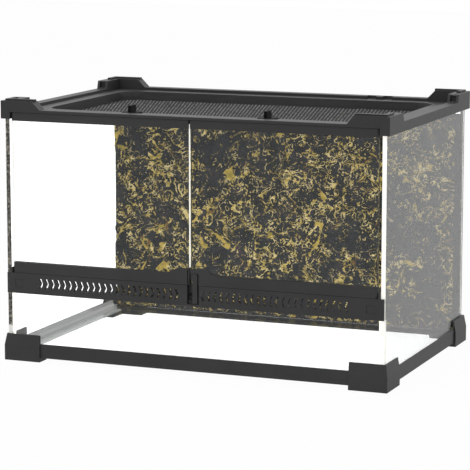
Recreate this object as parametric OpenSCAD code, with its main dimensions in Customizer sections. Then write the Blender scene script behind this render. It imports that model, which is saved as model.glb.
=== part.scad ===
// Front opening glass terrarium: a raised base of four corner feet and four rails,
// a silicone bonded glass tank, a vent strip under two hinged glass doors with a
// sliding lock, and a top frame with stacking caps and a lift-off mesh lid.
// Millimetres, +Z up, origin under the middle of the tank on the floor it stands on.

/* [Overall size] */
// Width over the feet and the top frame
width = 455; // [430:1:620]
// Depth over the feet and the top frame
depth = 299; // [270:1:460]
// Height from the floor to the flat tops of the corner caps
height = 294.6; // [240:0.1:460]

/* [Glass tank] */
// Thickness of the two side panes
side_glass = 5; // [4:0.5:6]
// Thickness of the rear, floor, lower front and door panes
pane_glass = 4; // [3:0.5:4]
// Side panes sit this far inside the outer faces
side_inset = 4; // [4:0.5:6]
// Front edges of the side panes sit this far behind the front face
front_inset = 3.5; // [3.5:0.1:4]
// Rear pane sits this far inside the rear face
rear_inset = 8; // [7:0.5:9]
// Width of the silicone fillets in the inner seams
bead = 2.6; // [1.5:0.1:3.5]

/* [Base] */
// Length of each leg of a corner foot
foot_leg = 44; // [40:1:60]
// Height of a corner foot
foot_height = 30.5; // [26:0.5:40]
// Width of the sole under each leg
foot_sole = 18; // [16:0.5:24]
// How far the upper part of a foot leans in
foot_taper = 2.2; // [0:0.1:2.6]
// Clear height under the base rails
rail_lift = 4.7; // [4.6:0.1:9]
// Height of the base rails
rail_height = 16; // [12:0.5:20]
// Wall of the base rails
rail_wall = 1.8; // [1.5:0.1:1.9]
// Width of the shelf that the panes stand on
rail_shelf = 16; // [14:0.5:20]
// Height of the rib on that shelf that carries the floor pane
rail_rib = 3.5; // [1:0.1:6]
// Height of the rear rail, which is lower than the others
rear_rail_height = 4.4; // [3:0.1:16]

/* [Vent strip] */
// Lower edge of the strip above the floor
strip_low = 77.8; // [60:0.1:110]
// Height of the strip
strip_height = 23.1; // [22:0.1:30]
// Number of chevron vents on each side of the lock
vent_count = 24; // [8:1:24]
// Spacing of the chevron vents
vent_pitch = 7.18; // [6:0.01:7.4]
// Height of a chevron vent
vent_height = 11.2; // [8:0.1:12]
// Width of the slot that forms a chevron
vent_slot = 2.7; // [1.2:0.1:2.9]
// How far the point of a chevron reaches out
vent_point = 2; // [1:0.1:3]
// Thickness of the plate with the vents
strip_plate = 1.8; // [1.4:0.1:2.2]
// Half width of the middle block that guides the lock
seat_half = 12.4; // [12:0.1:12.8]
// Side of the square end plugs
plug_size = 9; // [7:0.5:10]

/* [Doors] */
// Thickness of the door rails
door_thick = 8; // [8:0.5:9]
// Height of the top rail of a door
door_top_height = 9.2; // [8:0.1:12]
// Height of the bottom rail of a door
door_low_height = 11.9; // [11:0.1:16]
// Gap between the two doors
door_gap = 1.8; // [1:0.1:3]
// Diameter of the hinge pins
pin_d = 3; // [2.5:0.5:3.5]
// Height that the finger grips rise above the bottom rails
grip_rise = 5.5; // [3:0.1:8]
// Flat length of a finger grip
grip_flat = 15; // [12:1:30]
// Length of the slope beside a finger grip
grip_slope = 12; // [6:1:20]

/* [Lock] */
// Width of the sliding lock
lock_width = 5.6; // [5.4:0.1:7]
// Height of the sliding lock
lock_height = 33.5; // [31:0.5:34]
// Distance the lock slides to hold both doors
lock_travel = 6; // [5:0.1:6.5]
// Depth of the pocket behind the lock
pocket_deep = 5.2; // [4:0.1:5.6]

/* [Top frame] */
// Height of the frame skirt below the rim
frame_height = 10.8; // [10.8:0.1:16]
// Width of the rim
rim_width = 13.3; // [13:0.1:14.5]
// Thickness of the front rail above the doors
deck_thick = 3.3; // [2.6:0.1:4]
// Width of a cable port
port_width = 11.5; // [8:0.5:14]
// Spacing of the two cable ports
port_pitch = 19.5; // [18:0.5:30]
// Middle of the two cable ports, right of the centre
port_side = 120.7; // [60:0.1:130]

/* [Corner caps] */
// Length of each leg of a cap at its foot
cap_leg = 48; // [44:1:60]
// Height of a cap above the rim
cap_height = 9.3; // [7:0.1:12]
// Width of a cap leg
cap_width = 13.3; // [13:0.1:14.5]
// Run of the steep end of the leg along the side
cap_run = 3; // [1:0.1:6]
// Depth of the window in that end
cap_window = 1.5; // [0.5:0.1:2]
// Height of the stacking pad on a cap
pad_height = 2; // [1.5:0.1:3.2]
// Width of the stacking pad
pad_width = 5; // [4:0.1:6]
// Length of the stacking pad along the front or rear
pad_leg = 36; // [24:1:36]
// Length of the stacking pad along the side
pad_side = 22; // [14:1:36]

/* [Lid] */
// How far the lid flange lies below the rim
flange_drop = 3.2; // [2:0.1:3.6]
// Thickness of the lid flange
flange = 2.5; // [2:0.1:3]
// Width of the lid flange beside and behind the tray
flange_width = 17.4; // [14:0.1:20]
// Width of the lid flange in front of the tray, where the knobs are
front_flange = 34; // [30:0.1:40]
// Depth of the tray below the top of the flange
tray_depth = 12.6; // [9:0.1:13]
// Wall of the tray
tray_wall = 2.4; // [2:0.1:3]
// Radius of the inner corners of the tray
tray_radius = 22; // [8:1:26]
// Gaps of the mesh across the width
mesh_across = 24; // [10:1:24]
// Gaps of the mesh from front to back
mesh_deep = 12; // [6:1:12]

/* [Knobs] */
// Spacing of the two lid knobs
knob_pitch = 160; // [100:1:240]
// Distance of the knobs from the front edge of the lid
knob_set = 15.4; // [13:0.1:17]
// Height of the seat that carries a knob above the flange
knob_seat = 1.5; // [0.5:0.1:3]
// Diameter of a knob disc
disc_d = 23; // [20:0.1:25]
// Height of the wing that the fingers turn
wing_height = 7.3; // [5:0.1:9]
// Thickness of the wing
wing_thick = 4; // [3:0.1:6]
// Diameter of the knob shaft
shaft_d = 6; // [4:0.1:7]
// Reach of the tongue that locks the lid
tongue_reach = 10; // [9:0.1:11]
// Width of the tongue
tongue_width = 5; // [4:0.1:6]

/* [Background] */
// Thickness of the foam slab behind the rock relief
slab = 6; // [4:0.5:10]
// Largest height of the rock relief in front of the slab
relief = 6; // [3:0.5:12]
// Height of the gap under the middle of the background
wire_gap = 3.7; // [1:0.1:8]

/* [Running clearances] */
// Radial clearance of a turning pin in its bore
run_clear = 0.05; // [0.02:0.01:0.1]
// Clearance between pieces that slide or lie loose
loose = 0.3; // [0.2:0.05:0.4]
// Clearance of a seam or a push fit
seam = 0.2; // [0.1:0.05:0.3]
// Gap where two mouldings butt together
butt = 0.1; // [0.05:0.05:0.2]

/* [Hidden] */
$fn = 48;
eps = 0.01;
foot_base = 20;
half_w = width / 2;
half_d = depth / 2;
rim_top = height - cap_height;
frame_low = rim_top - frame_height;
rail_top = rail_lift + rail_height;
// glass faces
side_out = half_w - side_inset;
side_in = side_out - side_glass;
side_front = -half_d + front_inset;
rear_out = half_d - rear_inset;
rear_in = rear_out - pane_glass;
low_front = -half_d + 4;
low_back = low_front + pane_glass;
shelf_face = rail_lift + rail_wall;
glass_low = shelf_face + seam;
floor_low = shelf_face + rail_rib + seam;
glass_top = rim_top - 4.3;
floor_top = floor_low + pane_glass;
// vent strip
strip_top = strip_low + strip_height;
strip_front = -half_d + 0.8;
strip_back = -half_d + 9.4;
web_low = strip_low + 5;
vent_mid = web_low + 1.6 + vent_height / 2;
seat_back = strip_front + pocket_deep + 2;
// doors
door_front = -half_d + 1;
door_back = door_front + door_thick;
stop_back = door_back + 2.6;
hinge_x = half_w - 15.6;
hinge_y = door_front + door_thick / 2;
door_low = strip_top + loose;
deck_low = rim_top - deck_thick;
deck_back = -half_d + rim_width;
door_top = deck_low - loose;
slot_low = door_low + 6;
slot_high = door_top - 4.2;
boss_top = rim_top + 2.7;
block_w = 11.2;
// lock, at rest to the right of the seam
lock_left = 3.5;
lock_low = strip_low + 2.7;
lock_thick = 1.8;
lock_front = door_front - 0.5;
lock_back = lock_front + lock_thick;
// ends of the pocket the lock travels in
pocket_left = lock_left - lock_travel - 0.4;
pocket_right = lock_left + lock_width + 1.7;
neck_low = door_low + 2.2;
stem_far = lock_left + lock_width - 0.2;
hook_mid = vent_mid;
// lid
flange_top = rim_top - flange_drop;
flange_low = flange_top - flange;
tray_low = flange_top - tray_depth;
lid_x = half_w - rim_width - loose;
lid_front = -half_d + rim_width + loose;
lid_rear = half_d - rim_width - loose;
tray_x = lid_x - flange_width;
tray_front = lid_front + front_flange;
tray_rear = lid_rear - flange_width;
shelf_top = flange_low - seam;
shelf_low = shelf_top - 2.4;
mesh_low = tray_low + 1.6;
mesh_thick = 0.8;
seat_x = tray_x + tray_wall + 0.4;
// knobs
knob_y = lid_front + knob_set;
disc_low = flange_top + knob_seat;
disc_top = disc_low + 1.6;
shelf_back = knob_y - shaft_d / 2 - 2.5;
tongue_top = shelf_low - 0.5;
tongue_low = tongue_top - 2.2;
// foam
foam_x = side_in - 1;
foam_rear = rear_in - 0.3;
foam_front = foam_rear - slab;

// draws a box from two opposite corners
module block(a, b) {
    translate(a)
        cube(b - a);
}

// draws a box that is centred on X
module wide(x, y0, y1, z0, z1) {
    block([-x, y0, z0], [x, y1, z1]);
}

// draws a profile of [y, z] points along X
module along_x(x0, x1, points) {
    translate([x0, 0, 0])
        rotate([90, 0, 90])
            linear_extrude(x1 - x0)
                polygon(points);
}

// draws a profile of [x, z] points along Y
module along_y(y0, y1, points) {
    translate([0, y1, 0])
        rotate([90, 0, 0])
            linear_extrude(y1 - y0)
                polygon(points);
}

// draws a plan outline between two heights
module slabbed(z0, z1) {
    translate([0, 0, z0])
        linear_extrude(z1 - z0)
            children();
}

module rod(x, y, z0, z1, d) {
    translate([x, y, z0])
        cylinder(d = d, h = z1 - z0);
}

// rectangle with round corners, from two opposite corners
module round_rect(a, b, r) {
    translate([a[0] + r, a[1]])
        square([b[0] - a[0] - 2 * r, b[1] - a[1]]);
    translate([a[0], a[1] + r])
        square([b[0] - a[0], b[1] - a[1] - 2 * r]);
    for (x = [a[0] + r, b[0] - r], y = [a[1] + r, b[1] - r])
        translate([x, y])
            circle(r);
}

// puts a corner piece, drawn inwards from [0, 0], at one corner of the tank
module at_corner(side, end) {
    scale([-side, -end, 1])
        translate([-half_w, -half_d, 0])
            children();
}

// corner foot, drawn inwards from the outer corner; rear_wall widens the wall along X
module foot(rear_wall) {
    rail_in = 2 - 0.1;
    rail_in_y = rail_in + rear_wall;
    lip_y = (rear_wall > 0 ? rear_inset : front_inset) - 0.1;
    lean = foot_height - 13;
    intersection() {
        along_y(0, foot_leg, [[0, 0], [foot_leg, 0], [foot_leg, foot_height],
            [foot_taper, foot_height], [0, lean]]);
        along_x(0, foot_leg, [[0, 0], [foot_leg, 0], [foot_leg, foot_height],
            [foot_taper, foot_height], [0, lean]]);
        difference() {
            union() {
                block([0, 0, 0], [foot_leg, foot_sole, rail_lift - 0.1]);
                block([0, 0, 0], [foot_sole, foot_leg, rail_lift - 0.1]);
                block([0, 0, 0], [foot_base, foot_base, shelf_face]);
                block([0, 0, 0], [rail_in, foot_leg, foot_height]);
                block([0, 0, rail_top + 0.1], [side_inset - 0.1, foot_leg, foot_height]);
                block([0, 0, 0], [foot_leg, rail_in_y, foot_height]);
                block([0, 0, rail_top + 0.1], [foot_leg, lip_y, foot_height]);
            }
            pad_recess();
        }
    }
}

// recess under a foot that drops over the stacking pad of a tank below
module pad_recess() {
    gap = 0.4;
    near = 4 - gap;
    far = 4 + pad_width + gap;
    deep = pad_height + 0.3;
    block([near, near, -eps], [4 + pad_leg + gap, far, deep]);
    block([near, near, -eps], [far, 4 + pad_side + gap, deep]);
}

// profile of a base rail, measured inwards from the outer face of the tank, with the rib
// for the floor pane behind the upright pane
function rail_profile(inset, pane_in, top) = [
    [inset, rail_lift], [inset + rail_shelf, rail_lift], [inset + rail_shelf, shelf_face],
    [pane_in + 3, shelf_face], [pane_in + 3, shelf_face + rail_rib],
    [pane_in + seam, shelf_face + rail_rib], [pane_in + seam, shelf_face],
    [inset + rail_wall, shelf_face], [inset + rail_wall, top], [inset, top]];

module rail_across(end, points) {
    span = half_w - foot_base - butt;
    scale([1, -end, 1])
        translate([0, -half_d, 0])
            along_x(-span, span, points);
}

module rail_along(side) {
    span = half_d - foot_base - butt;
    scale([-side, 1, 1])
        translate([-half_w, 0, 0])
            along_y(-span, span, rail_profile(2, side_inset + side_glass, rail_top));
}

module side_pane(side) {
    scale([side, 1, 1])
        block([side_in, side_front, glass_low], [side_out, rear_out, glass_top]);
}

// quarter fillet in the seam of two panes, legs along +X and +Y from the corner
module fillet_plan() {
    polygon([[0, 0], [bead, 0], [0, bead]]);
}

module silicone_seams() {
    for (side = [-1, 1])
        scale([side, 1, 1]) {
            slabbed(floor_top, glass_top - 9)
                translate([side_in, rear_in])
                    rotate(180)
                        fillet_plan();
            slabbed(floor_top, strip_low - 0.5)
                translate([side_in, low_back])
                    rotate(90)
                        fillet_plan();
            along_y(low_back, rear_in - slab - relief - 1,
                [[side_in, floor_top], [side_in - bead, floor_top], [side_in, floor_top + bead]]);
        }
    along_x(-side_in, side_in,
        [[low_back, floor_top], [low_back + bead, floor_top], [low_back, floor_top + bead]]);
    along_x(-side_in, side_in,
        [[rear_in, floor_top], [rear_in - bead, floor_top], [rear_in, floor_top + bead]]);
}

// chevron slot about its middle, point towards the lock
function chevron(h = vent_height / 2, out = (vent_slot + vent_point) / 2, tip = (vent_slot - vent_point) / 2) = [
    [out, h], [out - vent_slot, h], [-out, 0], [out - vent_slot, -h], [out, -h], [-tip, 0]];

// half of the strip beside the lock seat: hinge block, chevron vents, door sill and glass channel
module vent_strip_half(near) {
    first = 15.5;
    difference() {
        union() {
            block([near, strip_front, strip_low], [side_in - seam, strip_front + strip_plate, strip_top]);
            block([near, strip_front, strip_low], [side_out - 0.8, side_front - seam, strip_top]);
            block([near, strip_front, strip_top - 2.5], [side_in - seam, strip_back, strip_top]);
            block([near, strip_front, web_low], [side_in - seam, low_back + seam + 1.8, web_low + 1.6]);
            block([near, low_back + seam, strip_low],
                [side_in - seam, low_back + seam + 1.8, web_low + 1.6]);
            block([near, strip_front, web_low], [seat_half, seat_back, strip_top]);
            block([hinge_x - 5, strip_front, web_low], [side_in - seam, strip_back, strip_top]);
            block([half_w - block_w, strip_front, strip_low + 10],
                [side_in - seam, strip_back, door_low + 5.5]);
        }
        for (i = [0 : vent_count - 1])
            translate([first + i * vent_pitch, strip_front + strip_plate + 1, vent_mid])
                rotate([90, 0, 0])
                    linear_extrude(strip_plate + 2)
                        polygon(chevron());
        rod(hinge_x, hinge_y, strip_top - 9, strip_top + 1, pin_d + 2 * run_clear);
        translate([half_w - 19.5, 0, strip_low + 11.2])
            block([-plug_size / 2 - butt, strip_front - 1, -plug_size / 2 - butt],
                [plug_size / 2 + butt, strip_front + 1.6, plug_size / 2 + butt]);
    }
}

// pocket for the lock in the plane of the strip and the door rails, with the slide travel
module lock_pocket(z1) {
    translate([0, lock_back + loose, 0])
        rotate([90, 0, 0])
            linear_extrude(lock_thick + 2)
                round_rect([pocket_left, lock_low - 0.5], [pocket_right, z1], 2);
}

// middle of the strip behind the lock: lip, web, glass channel, top bar and cover, and the two
// catches that the hook of the lock slides behind
module lock_seat() {
    face = strip_front + pocket_deep;
    mid_gap = 1.8;
    channel = low_back + seam;
    cover = seat_back + 2.2;
    catch_right = lock_left + 0.5;
    block([pocket_left, strip_front, strip_low], [pocket_right, strip_front + 3, lock_low - 0.5]);
    block([pocket_left, strip_front + 3 + butt, web_low], [pocket_right, channel - butt, web_low + 1.6]);
    block([pocket_left, channel, strip_low], [pocket_right, channel + 1.8, web_low + 1.6]);
    block([pocket_left, face, web_low + 1.6 + butt], [catch_right, seat_back, hook_mid - mid_gap]);
    block([pocket_left, face, hook_mid + mid_gap], [catch_right, seat_back, strip_top - 2.5 - butt]);
    block([pocket_left, face, strip_top - 2.5], [pocket_right, cover + 0.6, strip_top]);
    block([pocket_left, cover, web_low + 1.6 + butt], [pocket_right, cover + 0.6, strip_top - 2.5 - butt]);
}

module end_plugs() {
    for (side = [-1, 1])
        translate([side * (half_w - 19.5), 0, strip_low + 11.2])
            block([-plug_size / 2, strip_front + 0.3, -plug_size / 2],
                [plug_size / 2, strip_front + 1.5, plug_size / 2]);
}

// plan outline of a door rail: straight bar with a round end about the hinge pin
module door_plan(gap) {
    translate([gap / 2, door_front])
        square([hinge_x - gap / 2, door_thick]);
    translate([hinge_x, hinge_y])
        circle(d = door_thick);
}

module door_slot(z0, z1) {
    block([door_gap / 2 - 1, hinge_y - pane_glass / 2 - 0.05, z0],
        [hinge_x + 3.2, hinge_y + pane_glass / 2 + 0.05, z1]);
}

module door_top_rail() {
    difference() {
        slabbed(door_top - door_top_height, door_top)
            door_plan(door_gap);
        door_slot(door_top - door_top_height - 1, slot_high);
        rod(hinge_x, hinge_y, slot_high + 0.3, door_top + 1, pin_d);
    }
}

module door_low_rail() {
    difference() {
        union() {
            slabbed(door_low, door_low + door_low_height)
                door_plan(door_gap);
            along_y(door_front, door_back, [
                [door_gap / 2, door_low + door_low_height - 1],
                [door_gap / 2 + grip_flat + grip_slope, door_low + door_low_height - 1],
                [door_gap / 2 + grip_flat + grip_slope, door_low + door_low_height],
                [door_gap / 2 + grip_flat, door_low + door_low_height + grip_rise],
                [door_gap / 2, door_low + door_low_height + grip_rise]]);
        }
        door_slot(slot_low, door_low + door_low_height + grip_rise + 1);
        rod(hinge_x, hinge_y, door_low - 1, slot_low - 0.3, pin_d);
    }
}

module door_pane() {
    block([door_gap / 2 + 0.1, hinge_y - pane_glass / 2, slot_low + 0.2],
        [hinge_x + 3, hinge_y + pane_glass / 2, slot_high - 0.2]);
}

module door_pins() {
    rod(hinge_x, hinge_y, slot_high + 0.4, boss_top - 0.1, pin_d);
    rod(hinge_x, hinge_y, strip_top - 8.9, slot_low - 0.4, pin_d);
}

module left_door_low_rail() {
    difference() {
        mirror([1, 0, 0])
            door_low_rail();
        block([pocket_left - butt, door_front - 1, door_low - 1], [0, door_back + 1, door_top]);
    }
}

// stepped end of the left rail, which the lock slides in front of
module left_door_catch() {
    intersection() {
        mirror([1, 0, 0])
            door_low_rail();
        block([pocket_left, lock_back + loose, door_low - 1], [0, door_back + 1, door_top]);
    }
}

// T slot in the right rail that guides the lock
module right_door_low_rail() {
    difference() {
        door_low_rail();
        lock_pocket(lock_low + lock_height + 0.4);
        block([-1, door_front, neck_low], [stem_far + 0.3, door_front + 4, neck_low + 1.8]);
        block([-1, door_front + 3.4, neck_low - 1], [stem_far + 0.3, door_front + 5.4, neck_low + 2.8]);
    }
}

module lock_body() {
    translate([0, lock_back, 0])
        rotate([90, 0, 0])
            linear_extrude(lock_thick)
                round_rect([lock_left, lock_low], [lock_left + lock_width, lock_low + lock_height], 2);
    // T that runs in the door rail
    block([stem_far - 3, lock_back - eps, neck_low + 0.1], [stem_far, door_front + 3.8, neck_low + 1.7]);
    block([stem_far - 3, door_front + 3.6, neck_low - 0.8], [stem_far, door_front + 5.2, neck_low + 2.6]);
    // hook that passes through the keyhole of the seat
    block([lock_left + 1.3, lock_back - eps, hook_mid - 1.5],
        [lock_left + 4.3, seat_back + loose + 1.6, hook_mid + 1.5]);
    block([lock_left + 1.3, seat_back + loose, hook_mid - 3.5],
        [lock_left + 4.3, seat_back + loose + 1.6, hook_mid + 3.5]);
}

// profile of the side rims, measured inwards from the side face, with the groove of the pane
function rim_side() = [
    [0, frame_low], [side_inset - seam, frame_low], [side_inset - seam, glass_top + seam],
    [side_inset + side_glass + seam, glass_top + seam], [side_inset + side_glass + seam, frame_low],
    [block_w, frame_low], [block_w, rim_top], [0, rim_top]];

// profile of the rear rim, measured inwards from the rear face
function rim_rear() = [
    [0, frame_low], [2.4, frame_low], [2.4, glass_top + seam], [rear_inset - 2.2, glass_top + seam],
    [rear_inset - 2.2, frame_low], [rear_inset - seam, frame_low],
    [rear_inset - seam, glass_top + seam], [rear_inset + pane_glass + seam, glass_top + seam],
    [rear_inset + pane_glass + seam, frame_low], [rim_width + 1, frame_low],
    [rim_width + 1, shelf_low], [half_d - tray_rear - tray_wall - 0.4, shelf_low],
    [half_d - tray_rear - tray_wall - 0.4, shelf_top], [rim_width, shelf_top],
    [rim_width, rim_top], [0, rim_top]];

// notches that let a cable in over the rear rim and down into the tank
module port_cuts() {
    for (k = [-1, 1])
        translate([port_side + k * port_pitch / 2, 0, 0]) {
            block([-port_width / 2, half_d - rim_width - 1, rim_top - 3.2],
                [port_width / 2, half_d - 3.6, rim_top + 1]);
            block([-port_width / 2, half_d - rim_width - 4, frame_low - 1],
                [port_width / 2, half_d - rear_inset - pane_glass - 0.4, rim_top]);
        }
}

module peg_holes(end) {
    for (side = [-1, 1])
        at_corner(side, end)
            for (p = cap_pegs())
                rod(p[0], p[1], deck_low - 0.1, rim_top + 1, 4 + 2 * seam);
}

// flat front rail with the door stop, the lid seat and the bosses of the upper hinge pins
module frame_front() {
    span = half_w - block_w - butt;
    difference() {
        union() {
            wide(span, -half_d, deck_back, deck_low, rim_top);
            wide(span, door_back + 0.6, stop_back, frame_low, rim_top);
            wide(seat_x - butt, stop_back - 1, shelf_back, shelf_low, shelf_top);
            for (side = [-1, 1])
                rod(side * hinge_x, hinge_y, deck_low, boss_top, pin_d + 2.6);
        }
        for (side = [-1, 1])
            rod(side * hinge_x, hinge_y, deck_low - 1, boss_top + 1, pin_d + 2 * run_clear);
        peg_holes(-1);
    }
}

module frame_rear() {
    span = half_w - rim_width - butt;
    difference() {
        scale([1, -1, 1])
            translate([0, -half_d, 0])
                along_x(-span, span, rim_rear());
        // the lid seat at the sides belongs to the side rims
        for (side = [-1, 1])
            scale([side, 1, 1])
                block([seat_x - butt, 0, shelf_low - 1], [half_w, half_d - rim_width - 1, shelf_top + 1]);
        port_cuts();
        peg_holes(1);
    }
}

module frame_side(side) {
    rear_lip = half_d - rim_width - 1 - butt;
    difference() {
        scale([-side, 1, 1])
            translate([-half_w, 0, 0])
                difference() {
                    union() {
                        along_y(-half_d, half_d, rim_side());
                        block([0, -half_d, frame_low], [block_w, side_front - seam, rim_top]);
                        block([0, rear_out + seam, frame_low], [block_w, half_d, rim_top]);
                        block([block_w - 1, deck_back + butt, deck_low], [rim_width, half_d, rim_top]);
                        block([block_w - 1, deck_back + butt, shelf_low], [rim_width, rear_lip, rim_top]);
                        block([block_w - 1, stop_back + butt, shelf_low], [half_w - seat_x, rear_lip, shelf_top]);
                    }
                    block([side_inset + side_glass, rear_in - seam, frame_low - 1],
                        [block_w + 1, rear_out + seam + eps, glass_top + seam]);
                }
        peg_holes(-1);
        peg_holes(1);
    }
}

function cap_pegs() = [[32, 7], [7, 32]];

// corner cap with sloped ends, hollow below, and the stacking pad on top
module cap() {
    side_end = cap_leg - cap_run;
    difference() {
        union() {
            along_x(0, cap_width,
                [[0, rim_top], [cap_leg, rim_top], [side_end, height], [0, height]]);
            along_y(0, cap_width,
                [[0, rim_top], [cap_leg, rim_top], [cap_leg - cap_height, height], [0, height]]);
            block([4, 4, height - 1], [4 + pad_leg, 4 + pad_width, height + pad_height]);
            block([4, 4, height - 1], [4 + pad_width, 4 + pad_side, height + pad_height]);
        }
        block([2, 2, deck_low], [cap_leg - cap_height - 3, cap_width - 2, height - 2]);
        block([2, 2, deck_low], [cap_width - 2, cap_leg - cap_height - 3, height - 2]);
        block([3, side_end - cap_window, rim_top + 1.2], [cap_width - 3, cap_leg + 1, height - 1.6]);
    }
    for (p = cap_pegs())
        rod(p[0], p[1], deck_low + 0.3, height - 1.9, 4);
}

// plan of the lid flange and of the tray hole
module lid_plan() {
    round_rect([-lid_x, lid_front], [lid_x, lid_rear], 3);
}

module tray_plan(grow) {
    round_rect([-tray_x - grow, tray_front - grow], [tray_x + grow, tray_rear + grow], tray_radius + grow);
}

module lid_body() {
    difference() {
        union() {
            slabbed(flange_low, flange_top)
                lid_plan();
            slabbed(tray_low, flange_top)
                tray_plan(tray_wall);
            // raised seats of the knobs
            for (side = [-1, 1])
                rod(side * knob_pitch / 2, knob_y, flange_top - 1, disc_low - run_clear, shaft_d + 4);
        }
        slabbed(tray_low - 1, flange_top + 3)
            tray_plan(0);
        slabbed(mesh_low, mesh_low + mesh_thick)
            tray_plan(1);
        for (side = [-1, 1])
            rod(side * knob_pitch / 2, knob_y, flange_low - 1, rim_top, shaft_d + 2 * run_clear);
        for (k = [-1, 1])
            translate([port_side + k * port_pitch / 2, 0, 0])
                block([-port_width / 2, half_d - rim_width - 4, flange_low - 1],
                    [port_width / 2, half_d, flange_top + 1]);
    }
}

// lid mesh drawn as a coarse net; the edge is held in the groove of the tray
module mesh_sheet() {
    bar = 1.2;
    x_step = (2 * tray_x - bar) / mesh_across;
    y_step = (tray_rear - tray_front - bar) / mesh_deep;
    slabbed(mesh_low, mesh_low + mesh_thick)
        difference() {
            tray_plan(1);
            intersection() {
                tray_plan(-1);
                translate([-tray_x + bar, tray_front + bar])
                    for (i = [0 : mesh_across - 1], j = [0 : mesh_deep - 1])
                        translate([i * x_step, j * y_step])
                            square([x_step - bar, y_step - bar]);
            }
        }
}

// disc with a wing, and a shaft with a pilot hole for the screw
module knob_body() {
    wing = disc_d / 2 - 4.5;
    difference() {
        union() {
            rod(0, 0, disc_low, disc_top, disc_d);
            rod(0, 0, tongue_low, disc_top, shaft_d);
            along_y(-wing, wing, [[-wing_thick / 2, disc_top - 0.5], [wing_thick / 2, disc_top - 0.5],
                [wing_thick / 2 - 0.5, disc_top + wing_height], [-wing_thick / 2 + 0.5, disc_top + wing_height]]);
        }
        rod(0, 0, tongue_low - 1, tongue_low + 6, 2);
    }
}

// tongue pressed on the end of the shaft, pointing to the middle of the tank when released
module knob_tongue() {
    difference() {
        union() {
            rod(0, 0, tongue_low, tongue_top, shaft_d + 1.6);
            block([-tongue_reach, -tongue_width / 2, tongue_low], [0, tongue_width / 2, tongue_top]);
        }
        rod(0, 0, tongue_low - 1, tongue_top + 1, shaft_d);
    }
}

module knob_screw() {
    rod(0, 0, tongue_low - 1.6, tongue_low, shaft_d + 1);
    rod(0, 0, tongue_low - 1, tongue_low + 5.5, 2);
}

module at_knob(side) {
    scale([side, 1, 1])
        translate([knob_pitch / 2, knob_y, 0])
            children();
}

// foam slab with low rock shelves of many outlines; rests on the floor at both ends
module rock_face() {
    cols = 9;
    rows = 6;
    low = floor_top + 0.1;
    high = tray_low - 0.6;
    step_x = 2 * foam_x / cols;
    step_z = (high - low) / rows;
    turn = rands(0, 360, cols * rows, 11);
    size = rands(0.42, 0.74, cols * rows, 23);
    lift = rands(0.25, 1, cols * rows, 37);
    edge = rands(0.72, 1.12, cols * rows * 8, 53);
    difference() {
        union() {
            block([-foam_x, foam_front, low], [foam_x, foam_rear, high]);
            intersection() {
                block([-foam_x, foam_front - relief, low], [foam_x, foam_rear, high]);
                for (i = [0 : cols - 1], j = [0 : rows - 1]) {
                    n = i * rows + j;
                    translate([-foam_x + (i + 0.5 + 0.3 * cos(turn[n])) * step_x, foam_rear - 1,
                            low + (j + 0.5 + 0.3 * sin(turn[n])) * step_z])
                        rotate([90, 0, 0])
                            linear_extrude(slab - 1 + relief * lift[n])
                                polygon([for (k = [0 : 7])
                                    let (a = turn[n] + k * 45, s = size[n] * edge[n * 8 + k])
                                    [step_x * s * cos(a), step_z * s * sin(a)]]);
                }
            }
        }
        // clearance for the silicone seams, and the wire gap under the middle
        along_x(-foam_x - 1, foam_x + 1, [[foam_rear + 1, low - 1], [foam_rear - bead - 1, low - 1],
            [foam_rear + 1, low + bead + 1]]);
        for (side = [-1, 1])
            scale([side, 1, 1])
                slabbed(low - 1, high + 1)
                    polygon([[foam_x + 1, foam_rear + 1], [foam_x + 1, foam_rear - bead],
                        [foam_x - bead, foam_rear + 1]]);
        block([-foam_x + 40, foam_front - relief - 1, low - 1], [foam_x - 34, foam_rear + 1, low + wire_gap]);
    }
}

front_rail = rail_profile(2, 4 + pane_glass, rail_top);
rear_rail = rail_profile(rear_inset - 2, rear_inset + pane_glass, rail_lift + rear_rail_height);
plastic = [0.21, 0.21, 0.21];
clear = [0.8, 0.9, 0.88, 0.35];
steel = [0.7, 0.7, 0.72];

color(plastic) at_corner(-1, -1) foot(0);  // foot_front_left
color(plastic) at_corner(1, -1) foot(0);  // foot_front_right
color(plastic) at_corner(-1, 1) foot(rear_inset - 4);  // foot_rear_left
color(plastic) at_corner(1, 1) foot(rear_inset - 4);  // foot_rear_right
color(plastic) rail_across(-1, front_rail);  // rail_front
color(plastic) rail_across(1, rear_rail);  // rail_rear
color(plastic) rail_along(-1);  // rail_left
color(plastic) rail_along(1);  // rail_right
color(clear) wide(side_in - seam, low_back + seam, rear_in - seam, floor_low, floor_top);  // glass_floor
color(clear) side_pane(-1);  // glass_left
color(clear) side_pane(1);  // glass_right
color(clear) wide(side_in - seam, rear_in, rear_out, glass_low, glass_top);  // glass_rear
color(clear) wide(side_in - seam, low_front, low_back, glass_low, web_low - seam);  // glass_front
color([0.9, 0.9, 0.9]) silicone_seams();  // silicone
color(plastic)  // vent_strip_left
    mirror([1, 0, 0])
        vent_strip_half(butt - pocket_left);
color(plastic)  // vent_strip_right
    vent_strip_half(pocket_right + butt);
color(plastic) lock_seat();
color(plastic) end_plugs();  // strip_plugs
color(plastic) frame_front();
color(plastic) frame_rear();
color(plastic) frame_side(-1);  // frame_left
color(plastic) frame_side(1);  // frame_right
color(plastic) at_corner(-1, -1) cap();  // cap_front_left
color(plastic) at_corner(1, -1) cap();  // cap_front_right
color(plastic) at_corner(-1, 1) cap();  // cap_rear_left
color(plastic) at_corner(1, 1) cap();  // cap_rear_right
color([0.3, 0.29, 0.26]) rock_face();  // background
color(clear) mirror([1, 0, 0]) door_pane();  // door_left_glass
color(plastic) mirror([1, 0, 0]) door_top_rail();  // door_left_top
color(plastic) left_door_low_rail();  // door_left_bottom
color(plastic) left_door_catch();  // door_left_catch
color(steel) mirror([1, 0, 0]) door_pins();  // door_left_pins
color(clear) door_pane();  // door_right_glass
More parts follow.
